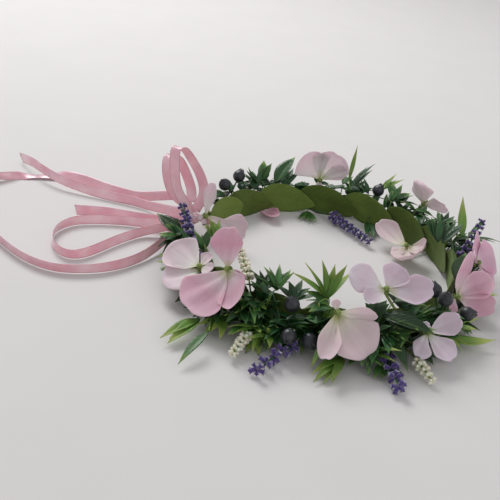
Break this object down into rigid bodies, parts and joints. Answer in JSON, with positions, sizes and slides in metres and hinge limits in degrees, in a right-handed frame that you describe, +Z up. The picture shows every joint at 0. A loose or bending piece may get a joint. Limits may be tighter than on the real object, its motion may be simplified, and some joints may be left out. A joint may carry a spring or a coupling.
{
  "type": "flower crown",
  "caption": "Open wire hoop lined with overlapping fabric leaves and dressed with four-petal blossoms, lavender, berries and foliage, tied at one side with a satin ribbon bow.",
  "frame": {"origin": "centre of the ring on the surface that the crown lies on", "axes": "+X towards the closed front of the crown, opposite the ribbon; +Z up out of the head opening"},
  "size_m": [0.3973, 0.2523, 0.0633],
  "materials": {
    "petal_fabric": "matte printed polyester petal fabric",
    "stem_plastic": "moulded soft plastic, satin",
    "floral_tape": "waxed crepe floral tape, matt",
    "florist_wire": "plain annealed wire",
    "lining_fabric": "matt leaf fabric",
    "lavender_plastic": "matt moulded plastic",
    "berry_plastic": "dull blue-black, slight bloom",
    "bud_foam": "matt off-white",
    "foliage_plastic": "satin moulded leaves",
    "satin_ribbon": "satin, glossy along the weave"
  },
  "bodies": {
    "crown": {"hoop_wire": "florist_wire", "hoop_tape": "floral_tape", "hoop_eyes": "florist_wire", "lining_first_leaf": "lining_fabric", "lining_back_leaves": "lining_fabric", "lining_front_leaves": "lining_fabric", "stem_1": "stem_plastic", "stem_2": "stem_plastic", "stem_3": "stem_plastic", "stem_4": "stem_plastic", "stem_5": "stem_plastic", "stem_6": "stem_plastic", "stem_7": "stem_plastic", "stem_8": "stem_plastic", "stem_9": "stem_plastic", "stem_10": "stem_plastic", "stem_11": "stem_plastic", "petal_under_lining": "petal_fabric", "lavender_1": "lavender_plastic", "lavender_2": "lavender_plastic", "lavender_3": "lavender_plastic", "lavender_4": "lavender_plastic", "lavender_5": "lavender_plastic", "berries_front": "berry_plastic", "berries_right": "berry_plastic", "berries_left": "berry_plastic", "berry_back": "berry_plastic", "buds_inner": "bud_foam", "buds_left": "bud_foam", "buds_right": "bud_foam", "foliage_left": "foliage_plastic", "foliage_corner": "foliage_plastic", "foliage_dark": "foliage_plastic", "foliage_star": "foliage_plastic", "foliage_glossy": "foliage_plastic", "foliage_right": "foliage_plastic", "foliage_back_right": "foliage_plastic", "foliage_back": "foliage_plastic", "foliage_back_left": "foliage_plastic", "ribbon_knot": "satin_ribbon", "ribbon_tie": "satin_ribbon", "ribbon_standing_loop": "satin_ribbon", "ribbon_second_loop": "satin_ribbon", "ribbon_side_loop": "satin_ribbon", "ribbon_long_loop": "satin_ribbon", "ribbon_long_end": "satin_ribbon", "ribbon_short_end": "satin_ribbon"},
    "blossom_1": {"petals_1": "petal_fabric"},
    "blossom_2": {"petals_2": "petal_fabric"},
    "blossom_3": {"petals_3": "petal_fabric"},
    "blossom_4": {"petals_4": "petal_fabric"},
    "blossom_5": {"petals_5": "petal_fabric"},
    "blossom_6": {"petals_6": "petal_fabric"},
    "blossom_7": {"petals_7": "petal_fabric"},
    "blossom_8": {"petals_8": "petal_fabric"},
    "blossom_9": {"petals_9": "petal_fabric"},
    "blossom_10": {"petals_10": "petal_fabric"},
    "blossom_11": {"petals_11": "petal_fabric"}
  },
  "joints": [
    {"name": "blossom_1_turn", "type": "hinge", "parent": "crown", "child": "blossom_1", "pos_m": [-0.0515, -0.08572, 0.034], "axis": [-0.469, -0.6953, 0.5446], "range_deg": [-12, 12]},
    {"name": "blossom_2_turn", "type": "hinge", "parent": "crown", "child": "blossom_2", "pos_m": [-0.0724, -0.06752, 0.02], "axis": [-0.3812, -0.3681, 0.848], "range_deg": [-12, 12]},
    {"name": "blossom_3_turn", "type": "hinge", "parent": "crown", "child": "blossom_3", "pos_m": [0.01596, -0.10074, 0.03], "axis": [0.3419, -0.7332, 0.5878], "range_deg": [-12, 12]},
    {"name": "blossom_4_turn", "type": "hinge", "parent": "crown", "child": "blossom_4", "pos_m": [0.04121, -0.07434, 0.036], "axis": [0.0716, -0.5834, 0.809], "range_deg": [-12, 12]},
    {"name": "blossom_5_turn", "type": "hinge", "parent": "crown", "child": "blossom_5", "pos_m": [0.0702, -0.08075, 0.017], "axis": [0.3018, -0.5675, 0.766], "range_deg": [-12, 12]},
    {"name": "blossom_6_turn", "type": "hinge", "parent": "crown", "child": "blossom_6", "pos_m": [0.0861, -0.04015, 0.022], "axis": [0.6087, -0.5481, 0.5736], "range_deg": [-12, 12]},
    {"name": "blossom_7_turn", "type": "hinge", "parent": "crown", "child": "blossom_7", "pos_m": [0.099, 0, 0.028], "axis": [0.821, -0.1154, 0.5592], "range_deg": [-12, 12]},
    {"name": "blossom_8_turn", "type": "hinge", "parent": "crown", "child": "blossom_8", "pos_m": [-0.0187, 0.0962, 0.025], "axis": [0.189, -0.9721, 0.1392], "range_deg": [-12, 12]},
    {"name": "blossom_9_turn", "type": "hinge", "parent": "crown", "child": "blossom_9", "pos_m": [0.06424, 0.09174, 0.024], "axis": [0.5, 0.5, 0.7071], "range_deg": [-12, 12]},
    {"name": "blossom_10_turn", "type": "hinge", "parent": "crown", "child": "blossom_10", "pos_m": [-0.08866, 0.00776, 0.018], "axis": [0.2114, -0.9156, 0.342], "range_deg": [-12, 12]},
    {"name": "blossom_11_turn", "type": "hinge", "parent": "crown", "child": "blossom_11", "pos_m": [0.05595, 0.04371, 0.008], "axis": [-0.3634, -0.2451, 0.8988], "range_deg": [-12, 12]}
  ]
}
